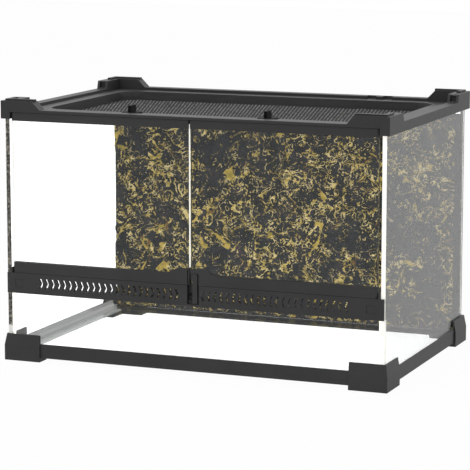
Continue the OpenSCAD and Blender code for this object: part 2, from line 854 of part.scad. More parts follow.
color(plastic) door_top_rail();  // door_right_top
color(plastic) right_door_low_rail();  // door_right_bottom
color(steel) door_pins();  // door_right_pins
color(plastic) lock_body();  // door_lock
color(plastic) lid_body();  // lid_frame
color(steel) mesh_sheet();  // lid_mesh
color(plastic) at_knob(-1) knob_body();  // knob_left
color(plastic) at_knob(1) knob_body();  // knob_right
color(plastic) at_knob(-1) knob_tongue();  // knob_left_tongue
color(plastic) at_knob(1) knob_tongue();  // knob_right_tongue
color(steel) at_knob(-1) knob_screw();  // knob_left_screw
color(steel) at_knob(1) knob_screw();  // knob_right_screw
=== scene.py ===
# Looks of a front opening glass terrarium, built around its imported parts.
import math
import bpy
import numpy as np
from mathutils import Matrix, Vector


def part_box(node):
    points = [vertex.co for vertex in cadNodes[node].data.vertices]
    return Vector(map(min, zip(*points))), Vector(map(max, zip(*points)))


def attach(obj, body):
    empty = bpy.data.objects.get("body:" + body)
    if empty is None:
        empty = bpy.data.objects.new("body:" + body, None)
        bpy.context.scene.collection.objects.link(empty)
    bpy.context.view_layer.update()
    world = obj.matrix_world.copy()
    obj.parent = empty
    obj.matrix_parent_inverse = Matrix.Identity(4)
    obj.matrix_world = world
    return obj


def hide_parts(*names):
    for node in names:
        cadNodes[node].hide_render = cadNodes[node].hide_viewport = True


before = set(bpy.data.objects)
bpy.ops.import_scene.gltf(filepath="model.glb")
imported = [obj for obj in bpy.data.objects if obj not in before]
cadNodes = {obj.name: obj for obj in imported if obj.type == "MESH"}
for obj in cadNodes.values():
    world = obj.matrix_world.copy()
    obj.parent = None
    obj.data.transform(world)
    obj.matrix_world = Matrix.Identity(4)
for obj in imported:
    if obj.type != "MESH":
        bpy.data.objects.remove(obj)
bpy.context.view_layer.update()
mm = 0.001
print("frame loaded with", len(cadNodes), "nodes")


# small helpers

def newMaterial(name):
    # Empty node material, with its node tree and its output.
    material = bpy.data.materials.new(name)
    material.use_nodes = True
    tree = material.node_tree
    tree.nodes.clear()
    return material, tree, tree.nodes.new("ShaderNodeOutputMaterial")


def addNode(tree, kind, **values):
    # One node; a value is set on the socket of that name, or links to it if it is a socket.
    node = tree.nodes.new(kind)
    for name, value in values.items():
        socket = node.inputs[name.replace("_", " ")]
        if isinstance(value, bpy.types.NodeSocket):
            tree.links.new(value, socket)
        else:
            socket.default_value = value
    return node


def ramp(tree, factor, stops):
    # Colour ramp through (position, colour) stops.
    node = tree.nodes.new("ShaderNodeValToRGB")
    tree.links.new(factor, node.inputs[0])
    elements = node.color_ramp.elements
    while len(elements) < len(stops):
        elements.new(0.5)
    for element, (position, colour) in zip(elements, stops):
        element.position = position
        element.color = (*colour, 1.0)
    return node


def fitSpan(tree, value, low, high):
    # Maps low..high of a value to 0..1 and clamps it.
    node = tree.nodes.new("ShaderNodeMapRange")
    tree.links.new(value, node.inputs[0])
    node.inputs[1].default_value = low
    node.inputs[2].default_value = high
    return node.outputs[0]


def calculate(tree, operation, a, b):
    # One math node.
    node = tree.nodes.new("ShaderNodeMath")
    node.operation = operation
    for socket, value in zip(node.inputs, (a, b)):
        if isinstance(value, bpy.types.NodeSocket):
            tree.links.new(value, socket)
        else:
            socket.default_value = value
    return node.outputs[0]


def meshPiece(name, points, faces, body, material, smooth=True):
    # A new piece from arrays of points in metres and faces, riding on a body.
    mesh = bpy.data.meshes.new(name)
    mesh.from_pydata(points.tolist(), [], faces)
    mesh.update()
    mesh.polygons.foreach_set("use_smooth", [smooth] * len(mesh.polygons))
    piece = bpy.data.objects.new(name, mesh)
    bpy.context.scene.collection.objects.link(piece)
    mesh.materials.append(material)
    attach(piece, body)
    return piece


# materials

plasticLook = {
    "frontColour": (0.046, 0.046, 0.047),
    "frameColour": (0.045, 0.045, 0.046),
    "baseColour": (0.046, 0.046, 0.047),
    "knobColour": (0.010, 0.010, 0.011),
    "roughness": 0.46,
    "knobRoughness": 0.62,
    "knobShine": 0.12,
    "grainSize": 900.0,      # grains per metre
    "grainDepth": 0.00012,   # metres
    "blotchSize": 14.0,
}


def mouldedPlastic(name, colour, roughness, grainDepth, shine=0.5):
    # Moulded plastic: colour and roughness vary in soft blotches, and a fine spark grain lifts the surface.
    material, tree, output = newMaterial(name)
    place = addNode(tree, "ShaderNodeTexCoord").outputs["Object"]
    blotch = addNode(tree, "ShaderNodeTexNoise", Vector=place, Scale=plasticLook["blotchSize"], Detail=4.0)
    grain = addNode(tree, "ShaderNodeTexNoise", Vector=place, Scale=plasticLook["grainSize"], Detail=2.0)
    shade = ramp(tree, blotch.outputs[0], [
        (0.30, [c * 0.88 for c in colour]),
        (0.70, [min(1.0, c * 1.12) for c in colour])])
    rough = fitSpan(tree, blotch.outputs[0], 0.1, 0.9)
    roughRange = tree.nodes.new("ShaderNodeMapRange")
    tree.links.new(rough, roughRange.inputs[0])
    roughRange.inputs[3].default_value = roughness - 0.04
    roughRange.inputs[4].default_value = roughness + 0.05
    bump = addNode(tree, "ShaderNodeBump", Height=grain.outputs[0], Distance=grainDepth, Strength=0.5)
    shader = addNode(tree, "ShaderNodeBsdfPrincipled", Base_Color=shade.outputs[0],
                     Roughness=roughRange.outputs[0], Normal=bump.outputs[0])
    shader.inputs["Specular IOR Level"].default_value = shine
    tree.links.new(shader.outputs[0], output.inputs[0])
    return material


glassLook = {
    "colour": (0.985, 1.0, 0.992),
    "smearSize": 9.0,
    "smearRough": 0.02,
    # painted glow of the pane edges, which stands for light carried in the glass
    "edgeGlow": 0.55,
    "doorEdgeGlow": 0.85,
    "paneIndex": 1.5,
    "floorIndex": 1.12,      # bends light less than the upright panes do
    # below this height the left door's edge is painted dark: painted shade in place of its painted glow
    "doorEdgeFoot": 0.1205,  # height below which the edge of the left door is dark
}


def floatGlass(name, index):
    # Clear glass with faint wiping smears in its gloss; lamps shine through it.
    material, tree, output = newMaterial(name)
    place = addNode(tree, "ShaderNodeTexCoord").outputs["Object"]
    smear = addNode(tree, "ShaderNodeTexNoise", Vector=place, Scale=glassLook["smearSize"], Detail=3.0)
    span = tree.nodes.new("ShaderNodeMapRange")
    tree.links.new(smear.outputs[0], span.inputs[0])
    span.inputs[1].default_value = 0.45
    span.inputs[2].default_value = 0.80
    span.inputs[4].default_value = glassLook["smearRough"]
    shader = addNode(tree, "ShaderNodeBsdfPrincipled", Roughness=span.outputs[0])
    shader.inputs["Base Color"].default_value = (*glassLook["colour"], 1.0)
    shader.inputs["Transmission Weight"].default_value = 1.0
    shader.inputs["IOR"].default_value = index
    clear = addNode(tree, "ShaderNodeBsdfTransparent")
    clear.inputs[0].default_value = (*glassLook["colour"], 1.0)
    shadowRay = addNode(tree, "ShaderNodeLightPath").outputs["Is Shadow Ray"]
    mix = tree.nodes.new("ShaderNodeMixShader")
    tree.links.new(shadowRay, mix.inputs[0])
    tree.links.new(shader.outputs[0], mix.inputs[1])
    tree.links.new(clear.outputs[0], mix.inputs[2])
    tree.links.new(mix.outputs[0], output.inputs[0])
    return material


def paintedLightFaces(name, stops, glow, foot=0.0, level=0.040):
    # ground edge of a pane, or another face, painted with the light it shows: scratches pick tones of the stops,
    # which carry the light of the pane, and glow times the tone is a painted glow;
    # foot is added to the scratches below the level, and so picks a tone further along the stops
    material, tree, output = newMaterial(name)
    place = addNode(tree, "ShaderNodeTexCoord").outputs["Object"]
    scratch = addNode(tree, "ShaderNodeTexNoise", Vector=place, Scale=420.0, Detail=3.0)
    height = addNode(tree, "ShaderNodeSeparateXYZ", Vector=place).outputs["Z"]
    above = fitSpan(tree, height, level - 0.002, level + 0.002)
    low = calculate(tree, "MULTIPLY", calculate(tree, "SUBTRACT", 1.0, above), foot)
    tone = ramp(tree, calculate(tree, "ADD", scratch.outputs[0], low), stops)
    # painted glow: the tone is given off as light, with glow as its strength
    shader = addNode(tree, "ShaderNodeBsdfPrincipled", Base_Color=tone.outputs[0], Emission_Color=tone.outputs[0])
    shader.inputs["Roughness"].default_value = 0.6
    shader.inputs["Emission Strength"].default_value = glow
    tree.links.new(shader.outputs[0], output.inputs[0])
    return material


def clearSilicone(name):
    # Cloudy clear silicone, with a skin that waves a little.
    material, tree, output = newMaterial(name)
    place = addNode(tree, "ShaderNodeTexCoord").outputs["Object"]
    wave = addNode(tree, "ShaderNodeTexNoise", Vector=place, Scale=160.0, Detail=2.0)
    cloud = ramp(tree, wave.outputs[0], [(0.3, (0.86, 0.87, 0.86)), (0.7, (0.95, 0.95, 0.94))])
    bump = addNode(tree, "ShaderNodeBump", Height=wave.outputs[0], Distance=0.0004, Strength=0.4)
    shader = addNode(tree, "ShaderNodeBsdfPrincipled", Base_Color=cloud.outputs[0], Normal=bump.outputs[0])
    shader.inputs["Roughness"].default_value = 0.25
    shader.inputs["Transmission Weight"].default_value = 0.92
    shader.inputs["IOR"].default_value = 1.06
    tree.links.new(shader.outputs[0], output.inputs[0])
    return material


def turnedSteel(name):
    # Plain steel pins: fine rings along the pin.
    material, tree, output = newMaterial(name)
    place = addNode(tree, "ShaderNodeTexCoord").outputs["Object"]
    rings = addNode(tree, "ShaderNodeTexNoise", Vector=place, Scale=1200.0, Detail=2.0)
    tone = ramp(tree, rings.outputs[0], [(0.3, (0.50, 0.50, 0.51)), (0.7, (0.66, 0.66, 0.67))])
    shader = addNode(tree, "ShaderNodeBsdfPrincipled", Base_Color=tone.outputs[0])
    shader.inputs["Metallic"].default_value = 1.0
    shader.inputs["Roughness"].default_value = 0.32
    tree.links.new(shader.outputs[0], output.inputs[0])
    return material


wireLook = {
    "ribs": 4.2 * mm,    # spacing of the light ribs along X
    "lean": 0.30,        # their shift in X for each step in Y, on the middle line
    "fan": 0.42,         # how much wider they spread with each metre to the rear
    "waves": 38.0,       # cells of the noise that bends the ribs, per metre
    "bend": 2.2,         # how far it bends them, in radians
    "highlightBreaks": 260.0,       # cells of the noise that breaks them up, per metre
    "dark": (0.012, 0.012, 0.012),
    # tone of the painted highlights on the wire crowns
    "light": (0.27, 0.27, 0.26),
}


def coatedWire(name):
    # black coated wire with painted highlights on its crowns, which lie in slanted ribs: a sine of (x + lean y) / (1 +
    # fan y)
    material, tree, output = newMaterial(name)
    place = addNode(tree, "ShaderNodeTexCoord").outputs["Object"]
    parts = addNode(tree, "ShaderNodeSeparateXYZ", Vector=place)
    drift = addNode(tree, "ShaderNodeTexNoise", Vector=place, Scale=wireLook["waves"], Detail=3.0)
    leaned = calculate(tree, "MULTIPLY", parts.outputs["Y"], wireLook["lean"])
    shifted = calculate(tree, "ADD", parts.outputs["X"], leaned)
    spread = calculate(tree, "ADD", calculate(tree, "MULTIPLY", parts.outputs["Y"], wireLook["fan"]), 1.0)
    slant = calculate(tree, "DIVIDE", shifted, spread)
    turns = calculate(tree, "ADD", calculate(tree, "MULTIPLY", slant, 2 * math.pi / wireLook["ribs"]),
                      calculate(tree, "MULTIPLY", drift.outputs[0], wireLook["bend"]))
    wave = calculate(tree, "SINE", turns, 0.0)
    highlightBreaks = addNode(tree, "ShaderNodeTexNoise", Vector=place, Scale=wireLook["highlightBreaks"], Detail=3.0)
    # painted highlights: the slanted ribs, broken up by noise
    highlightShare = calculate(tree, "MULTIPLY", fitSpan(tree, wave, 0.15, 0.9), fitSpan(tree, highlightBreaks.outputs[0], 0.34, 0.56))
    tone = ramp(tree, highlightShare, [(0.0, wireLook["dark"]), (1.0, wireLook["light"])])
    shader = addNode(tree, "ShaderNodeBsdfPrincipled", Base_Color=tone.outputs[0])
    shader.inputs["Roughness"].default_value = 0.5
    tree.links.new(shader.outputs[0], output.inputs[0])
    return material


foamLook = {
    "charcoal": (0.013, 0.014, 0.017),
    "slate": (0.026, 0.029, 0.033),
    "moss": (0.024, 0.031, 0.019),
    "plum": (0.050, 0.036, 0.043),
    "umber": (0.24, 0.12, 0.035),
    "olive": (0.34, 0.27, 0.05),
    "ochre": (0.58, 0.41, 0.07),
    "tan": (0.68, 0.51, 0.14),
    "cream": (0.82, 0.68, 0.32),
    "regions": 17.0,      # cells of noise per metre
    "ropes": 52.0,
    "threads": 96.0,
    "patches": 42.0,
    "specks": 430.0,
    "swells": 40.0,       # where the ropes swell
    "breaks": 74.0,       # where they break off
    "thins": 60.0,        # where the threads run out
    "bristles": 520.0,    # marks of the brush in the paint
    "mottles": 48.0,
    "hues": 120.0,
    "bareSpan": (0.085, 0.135),    # X over which the paint gets sparser to the right
    "footSpan": (0.016, 0.024),    # Z over which the dull foot ends
    "cutSpan": (0.2115, 0.2130),   # X at which the paint stops before the cut edge
    "rearSpan": (0.1358, 0.1366),  # Y at which it stops before the rear face
    "ropeSpan": (0.012, 0.022),    # distance from a rope's line at which its paint fades
    "threadSpan": (0.020, 0.034),
}


def offMiddle(tree, place, scale, bend, detail=2.0):
    # how far a bent noise is from its middle value: zero along thin winding lines
    noise = addNode(tree, "ShaderNodeTexNoise", Vector=place, Scale=scale, Detail=detail, Roughness=0.55, Distortion=bend)
    return calculate(tree, "ABSOLUTE", calculate(tree, "SUBTRACT", noise.outputs[0], 0.5), 0.0)


def fadeOut(tree, value, near, far):
    # 1 below near, 0 beyond far
    return calculate(tree, "SUBTRACT", 1.0, fitSpan(tree, value, near, far))


def blend(tree, share, first, second):
    # colour mix; the colour sockets of the Mix node come after its number sockets
    mix = tree.nodes.new("ShaderNodeMix")
    mix.data_type = "RGBA"
    for socket, source in ((mix.inputs[0], share), (mix.inputs[6], first), (mix.inputs[7], second)):
        tree.links.new(source, socket)
    return mix.outputs[2]


def brushedRock(name):
    # charcoal foam with paint dragged over it: ropes that swell and break off, threads beside them,
    # patches and specks, crowded in some regions and on what stands proud, and sparse in the rest
    material, tree, output = newMaterial(name)
    place = addNode(tree, "ShaderNodeTexCoord").outputs["Object"]
    proud = addNode(tree, "ShaderNodeAttribute")
    proud.attribute_name = "proud"
    patch = addNode(tree, "ShaderNodeAttribute")
    patch.attribute_name = "patch"

    def noise(scale, detail=2.0, rough=0.55, bend=0.0):
        # value of one noise field
        return addNode(tree, "ShaderNodeTexNoise", Vector=place, Scale=scale, Detail=detail, Roughness=rough,
                       Distortion=bend).outputs[0]

    def times(a, b):
        # product
        return calculate(tree, "MULTIPLY", a, b)

    def plus(a, b):
        # sum
        return calculate(tree, "ADD", a, b)

    # the right end is barer than the rest, its cut edge and the rear have no paint, and the foot is dull
    parts = addNode(tree, "ShaderNodeSeparateXYZ", Vector=place)
    bare = times(fitSpan(tree, parts.outputs["X"], *foamLook["bareSpan"]), 0.03)
    dull = plus(times(fitSpan(tree, parts.outputs["Z"], *foamLook["footSpan"]), 0.35), 0.65)
    cutEnd = fadeOut(tree, parts.outputs["X"], *foamLook["cutSpan"])
    front = fadeOut(tree, parts.outputs["Y"], *foamLook["rearSpan"])
    crowd = fitSpan(tree, calculate(tree, "SUBTRACT", noise(foamLook["regions"], 3.0, 0.6, 0.9), bare), 0.38, 0.54)
    swell = times(fitSpan(tree, noise(foamLook["swells"]), 0.50, 0.70), 0.040)
    rope = calculate(tree, "SUBTRACT", offMiddle(tree, place, foamLook["ropes"], 1.5, 2.5), swell)
    broken = fitSpan(tree, noise(foamLook["breaks"], 1.0), 0.42, 0.46)
    coarse = times(fadeOut(tree, rope, *foamLook["ropeSpan"]), times(broken, plus(times(crowd, 0.50), 0.50)))
    thread = fadeOut(tree, offMiddle(tree, place, foamLook["threads"], 1.3, 1.0), *foamLook["threadSpan"])
    fine = times(thread, times(crowd, fitSpan(tree, noise(foamLook["thins"], 1.0), 0.47, 0.52)))
    speck = times(fitSpan(tree, noise(foamLook["specks"], 1.0), 0.65, 0.69), plus(crowd, 0.10))
    crest = plus(noise(foamLook["patches"], 4.0, 0.62, 1.2), times(patch.outputs["Fac"], 0.05))
    gold = fitSpan(tree, calculate(tree, "SUBTRACT", crest, bare), 0.625, 0.645)
    # proud crests take the paint well, and hollows lose some of it
    take = plus(times(proud.outputs["Fac"], 0.35), 0.72)
    lines = times(calculate(tree, "MAXIMUM", coarse, times(fine, 0.9)), take)
    bristle = noise(foamLook["bristles"], 2.0, 0.6)
    grain = plus(times(fitSpan(tree, bristle, 0.34, 0.50), 0.65), 0.50)
    painted = calculate(tree, "MAXIMUM", lines, calculate(tree, "MAXIMUM", gold, speck))
    coat = times(fitSpan(tree, times(painted, grain), 0.30, 0.60), times(dull, times(cutEnd, front)))
    ground = ramp(tree, noise(foamLook["mottles"], 5.0, 0.7), [
        (0.32, foamLook["moss"]), (0.42, foamLook["charcoal"]), (0.56, foamLook["slate"]), (0.68, foamLook["plum"])])
    hue = noise(foamLook["hues"], 3.0, 0.7)
    strings = ramp(tree, hue, [
        (0.34, foamLook["umber"]), (0.41, foamLook["olive"]), (0.49, foamLook["tan"]), (0.59, foamLook["cream"])])
    islands = ramp(tree, hue, [
        (0.36, foamLook["olive"]), (0.50, foamLook["ochre"]), (0.64, foamLook["tan"])])
    paint = blend(tree, gold, strings.outputs[0], islands.outputs[0])
    bump = addNode(tree, "ShaderNodeBump", Height=plus(times(painted, 0.5), bristle), Distance=0.0008, Strength=0.5)
    shader = addNode(tree, "ShaderNodeBsdfPrincipled", Base_Color=blend(tree, coat, ground.outputs[0], paint),
                     Normal=bump.outputs[0])
    shader.inputs["Roughness"].default_value = 0.85
    shader.inputs["Specular IOR Level"].default_value = 0.2
    tree.links.new(shader.outputs[0], output.inputs[0])
    return material


frontPlastic, framePlastic, basePlastic = [
    mouldedPlastic(part + " plastic", plasticLook[part + "Colour"], plasticLook["roughness"], plasticLook["grainDepth"])
    for part in ("front", "frame", "base")]
knobPlastic = mouldedPlastic("knob plastic", plasticLook["knobColour"], plasticLook["knobRoughness"],
                             plasticLook["grainDepth"] * 0.3, plasticLook["knobShine"])
paneGlass = floatGlass("pane glass", glassLook["paneIndex"])
floorGlass = floatGlass("floor glass", glassLook["floorIndex"])
# pale ground edges of the panes, with a painted glow for the light carried in the glass
groundEdgeGlow = paintedLightFaces("ground glass edge glow", [(0.28, (0.72, 0.72, 0.66)), (0.46, (0.97, 0.96, 0.90))],
                         glassLook["edgeGlow"])
# left door's edge: pale with a painted glow, and painted dark below doorEdgeFoot as painted shade
doorEdge = paintedLightFaces("door glass edge",
                       [(0.14, (0.02, 0.02, 0.02)), (0.28, (0.72, 0.72, 0.66)), (0.46, (0.97, 0.96, 0.90))],
                       glassLook["doorEdgeGlow"], -0.6, glassLook["doorEdgeFoot"])
# inner faces painted pale grey with a glow: a painted reflection of the white floor on the dark plastic
paintedReflection = paintedLightFaces("painted reflection inner face", [(0.30, (0.36, 0.36, 0.36)), (0.70, (0.40, 0.40, 0.40))], 0.50)
# edges painted dark with brown and gold flecks: a painted reflection of the foam
paintedFoamReflection = paintedLightFaces("painted foam reflection edge",
                       [(0.40, (0.026, 0.027, 0.026)), (0.52, (0.09, 0.08, 0.05)), (0.62, (0.36, 0.29, 0.14))], 0.0)
# front edge of the left pane: a painted reflection in dark, brown and grey tones, painted lighter below 40 mm, with a
# faint painted glow
leftEdge = paintedLightFaces("left glass edge", [(0.34, (0.030, 0.030, 0.028)), (0.50, (0.10, 0.094, 0.082)),
                                           (0.66, (0.33, 0.30, 0.24)), (0.90, (0.85, 0.85, 0.82))], 0.2, 0.5)
silicone = clearSilicone("clear silicone")
steel = turnedSteel("turned steel")
wire = coatedWire("coated wire")
rock = brushedRock("brushed rock")
print("materials made")


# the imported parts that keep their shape

ledgeTop = 12 * mm    # the ledges inside the side rails lie below this
beadFront = -130 * mm
beadRear = 130 * mm
beadSide = 210 * mm
beadFoot = 18 * mm


def dress(names, material, edge):
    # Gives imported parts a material, and rounds their sharp edges by edge millimetres.
    for name in names:
        part = cadNodes[name]
        part.data.materials.clear()
        part.data.materials.append(material)
        if edge:
            weld = part.modifiers.new("weld", "WELD")
            weld.merge_threshold = 0.00001
            bevel = part.modifiers.new("edges", "BEVEL")
            bevel.width = edge * mm
            bevel.segments = 2
            bevel.limit_method = "ANGLE"
            bevel.angle_limit = math.radians(35)
            bevel.harden_normals = False


corners = [end + "_" + side for end in ("front", "rear") for side in ("left", "right")]
dress(["foot_" + corner for corner in corners], basePlastic, 0.5)
dress(["rail_front", "rail_rear", "rail_left", "rail_right"], basePlastic, 0.25)
dress(["cap_" + corner for corner in corners], framePlastic, 0.4)
dress(["frame_front", "frame_rear", "frame_left", "frame_right", "lid_frame"], framePlastic, 0.25)
dress(["vent_strip_left", "vent_strip_right", "lock_seat", "door_lock", "door_left_catch"], frontPlastic, 0.2)
dress(["strip_plugs"], frontPlastic, 0.6)
dress(["door_" + side + "_" + rail for side in ("left", "right") for rail in ("top", "bottom")], frontPlastic, 0.3)
dress(["knob_" + side + tail for side in ("left", "right") for tail in ("", "_tongue")], knobPlastic, 0.4)
dress(["knob_left_screw", "knob_right_screw", "door_left_pins", "door_right_pins"], steel, 0.2)
dress(["glass_left", "glass_right", "glass_rear", "glass_front"], paneGlass, 0.3)
dress(["door_left_glass", "door_right_glass"], paneGlass, 0.3)
dress(["glass_floor"], floorGlass, 0.3)
dress(["silicone"], silicone, 0)


def recolourFaces(name, way, material, below=1.0):
    # gives the flat faces that look along a direction, and lie below a height, another material
    pane = cadNodes[name].data
    pane.materials.append(material)
    for polygon in pane.polygons:
        if polygon.normal.dot(Vector(way)) > 0.95 and polygon.center.z < below:
            polygon.material_index = len(pane.materials) - 1


# painted light on edges and faces: pale edges with a painted glow, dark edges with a painted reflection of the foam
recolourFaces("door_left_glass", (1, 0, 0), doorEdge)
recolourFaces("door_right_glass", (-1, 0, 0), paintedFoamReflection)
recolourFaces("door_right_glass", (1, 0, 0), paintedFoamReflection)
recolourFaces("glass_right", (0, -1, 0), groundEdgeGlow)
recolourFaces("glass_left", (0, -1, 0), leftEdge)
recolourFaces("door_left_glass", (-1, 0, 0), groundEdgeGlow)
recolourFaces("glass_front", (-1, 0, 0), groundEdgeGlow)
recolourFaces("glass_rear", (1, 0, 0), paintedFoamReflection)
# the floor pane's rear edge takes the foam's material, as a painted reflection of the foam behind it
recolourFaces("glass_floor", (0, 1, 0), rock)
recolourFaces("glass_floor", (0, -1, 0), paintedFoamReflection)
recolourFaces("glass_floor", (-1, 0, 0), paintedReflection)
# the inner faces and ledges of the side rails take a painted reflection of the white floor
recolourFaces("rail_left", (1, 0, 0), paintedReflection)
recolourFaces("rail_right", (-1, 0, 0), paintedReflection)
recolourFaces("rail_left", (0, 0, 1), paintedReflection, ledgeTop)
recolourFaces("rail_right", (0, 0, 1), paintedReflection, ledgeTop)


def paintBeads():
    # the beads are painted with the light of what stands beside them: a painted reflection of the foam at the rear,
    # a painted reflection of the pale rails at the sides, and the painted glow of the white pane edges at the front
    beads = cadNodes["silicone"].data
    for material in (groundEdgeGlow, paintedReflection, paintedFoamReflection):
        beads.materials.append(material)
    for polygon in beads.polygons:
        x, y, z = polygon.center
        if y < beadFront and z > beadFoot:
            polygon.material_index = 1
        elif abs(x) > beadSide and z < beadFoot:
            polygon.material_index = 2
        elif abs(x) > beadSide and y > beadRear:
            polygon.material_index = 3


paintBeads()
print("packed parts dressed")


# foam rock background

rockShape = {
    "step": 1.35 * mm,     # spacing of the surface points
    "waveDepth": 3.2 * mm,  # how far the side edges wander inwards
    "slab": 6.0 * mm,
    "relief": 5.6 * mm,
    "wireGap": 0.8 * mm,    # gap below the foam, between gapFrom and gapTo
    "gapFrom": -0.1755,
    "gapTo": 0.1835,
    "gapEnd": 2 * mm,       # length over which it opens
    "leftWave": 0.022,      # metres between the waves of the left edge
    "rightWave": 0.030,
    "rightShare": 0.3,      # how deep the right edge waves, as a share of the left
    "seed": 7,
}


def hashNoise(x, y, seed):
    # Smooth noise from 0 to 1: random values at whole numbers, blended with 3t^2 - 2t^3 between them.
    x0 = np.floor(x).astype(np.int64)
    y0 = np.floor(y).astype(np.int64)
    u = x - x0
    v = y - y0
    u = u * u * (3 - 2 * u)
    v = v * v * (3 - 2 * v)

    def corner(i, j):
        # the random value of one corner: its mixed whole number's low 16 bits over 65535
        n = (x0 + i) * 374761393 + (y0 + j) * 668265263 + seed * 1442695041
        n = (n ^ (n >> 13)) * 1274126177
        n = n ^ (n >> 16)
        return (n & 0xFFFF) / 65535.0

    low = corner(0, 0) * (1 - u) + corner(1, 0) * u
    high = corner(0, 1) * (1 - u) + corner(1, 1) * u
    return low * (1 - v) + high * v


def layered(x, y, seed, octaves=4, gain=0.5):
    # Sum of noises, each twice as fine and gain times as strong as the last, scaled to 0..1.
    total = np.zeros_like(x)
    weight = 0.0
    for k in range(octaves):
        total += hashNoise(x * 2 ** k + 17 * k, y * 2 ** k - 11 * k, seed + k) * gain ** k
        weight += gain ** k
    return total / weight


def ridged(x, y, seed, octaves=3, gain=0.55):
    # Sum of 1 - |2 noise - 1|, squared, so that thin crests stand between wide hollows.
    total = np.zeros_like(x)
    weight = 0.0
    for k in range(octaves):
        n = 1 - np.abs(2 * hashNoise(x * 2 ** k + 5 * k, y * 2 ** k + 9 * k, seed + k) - 1)
        total += n * n * gain ** k
        weight += gain ** k
    return total / weight


def smoothStep(value, low, high):
    # 3t^2 - 2t^3 of the value's place t between low and high, held to 0..1.
    t = np.clip((value - low) / (high - low), 0, 1)
    return t * t * (3 - 2 * t)


def rockBackground():
    # Closed slab: front points stand off the slab by the relief, side edges wave, the back is flat.
    # Each row is a loop of the front points and two back corners, and the ends are capped.
    low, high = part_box("background")
    across = int((high.x - low.x) / rockShape["step"])
    up = int((high.z - low.z) / rockShape["step"])
    u, v = np.meshgrid(np.linspace(0, 1, across), np.linspace(0, 1, up))
    seed = rockShape["seed"]
    flatZ = low.z + v * (high.z - low.z)
    leftNoise = layered(flatZ / rockShape["leftWave"], flatZ * 0 + 1.5, seed, 3)
    rightNoise = layered(flatZ / rockShape["rightWave"], flatZ * 0 + 8.5, seed + 3, 3)
    leftSide = low.x + rockShape["waveDepth"] * smoothStep(leftNoise, 0.32, 0.80)
    rightSide = high.x - rockShape["rightShare"] * rockShape["waveDepth"] * rightNoise
    x = leftSide + u * (rightSide - leftSide)
    gap = rockShape["wireGap"] * smoothStep(x, rockShape["gapFrom"], rockShape["gapFrom"] + rockShape["gapEnd"])
    gap = gap * (1 - smoothStep(x, rockShape["gapTo"], rockShape["gapTo"] + rockShape["gapEnd"]))
    bottom = low.z + gap + 0.0008 * layered(x / 0.012, x * 0 + 3, seed + 5, 2)
    z = bottom + v * (high.z - bottom)
    # warped coordinates bend the crests
    wx = x / 0.034 + 1.1 * layered(x / 0.045, z / 0.045, seed + 11, 3)
    wz = z / 0.026 + 1.1 * layered(x / 0.045, z / 0.045, seed + 23, 3)
    boulders = layered(wx, wz, seed + 31, 3)
    crests = ridged(wx * 1.25, wz * 1.1, seed + 41, 2)
    rough = smoothStep(layered(x / 0.030, z / 0.026, seed + 53, 3), 0.36, 0.56)
    fx = x / 0.0066 + 1.6 * layered(x / 0.012, z / 0.012, seed + 61, 2)
    fz = z / 0.0058 + 1.6 * layered(x / 0.012, z / 0.012, seed + 71, 2)
    wrinkles = ridged(fx, fz, seed + 83, 3, 0.6)
    height = 0.52 * boulders + 0.26 * crests + (0.06 + 0.20 * rough) * wrinkles
    height = (height - height.min()) / (height.max() - height.min())
    # the outer edges are cut back, so that the slab ends in a thinner rim
    rim = smoothStep(np.minimum(u, 1 - u), 0, 0.012) * smoothStep(np.minimum(v, 1 - v), 0, 0.010)
    front = high.y - rockShape["slab"] - rockShape["relief"] * height * (0.35 + 0.65 * rim)
    proud = smoothStep(wrinkles, 0.40, 0.72) * (0.16 + 0.84 * rough)
    patch = smoothStep(crests, 0.56, 0.80) * smoothStep(layered(x / 0.05, z / 0.04, seed + 91, 2), 0.42, 0.62)
    rows = np.stack([x, front, z], axis=-1)
    backRight = np.stack([x[:, -1], np.full(up, high.y), z[:, -1]], axis=-1)[:, None]
    backLeft = np.stack([x[:, 0], np.full(up, high.y), z[:, 0]], axis=-1)[:, None]
    loops = np.concatenate([rows, backRight, backLeft], axis=1)
    count = across + 2
    start = np.arange(up - 1)[:, None] * count
    here = np.arange(count)[None, :]
    after = (here + 1) % count
    quads = np.stack([start + here, start + after, start + count + after, start + count + here], axis=-1)
    faces = quads.reshape(-1, 4).tolist()
    faces.append(list(range(count - 1, -1, -1)))
    faces.append([(up - 1) * count + k for k in range(count)])
    points = loops.reshape(-1, 3)
    piece = meshPiece("rockBackground", points, faces, "tank", rock)
    sides = np.tile(np.arange(count) < across - 1, up - 1)
    piece.data.polygons.foreach_set("use_smooth", np.concatenate([sides, [False, False]]))
    zero = np.zeros((up, 2))
    for name, values in (("proud", proud), ("patch", patch)):
        attribute = piece.data.attributes.new(name, "FLOAT", "POINT")
        attribute.data.foreach_set("value", np.concatenate([values, zero], axis=1).ravel().astype(np.float32))
    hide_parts("background")


rockBackground()
print("foam background made")


# woven wire of the lid

weave = {
    "pitch": 2.6 * mm,
    "wireRadius": 0.32 * mm,
    "lift": 0.30 * mm,      # how far a wire rises over the one it crosses
    "cornerRadius": 0.0225,
}


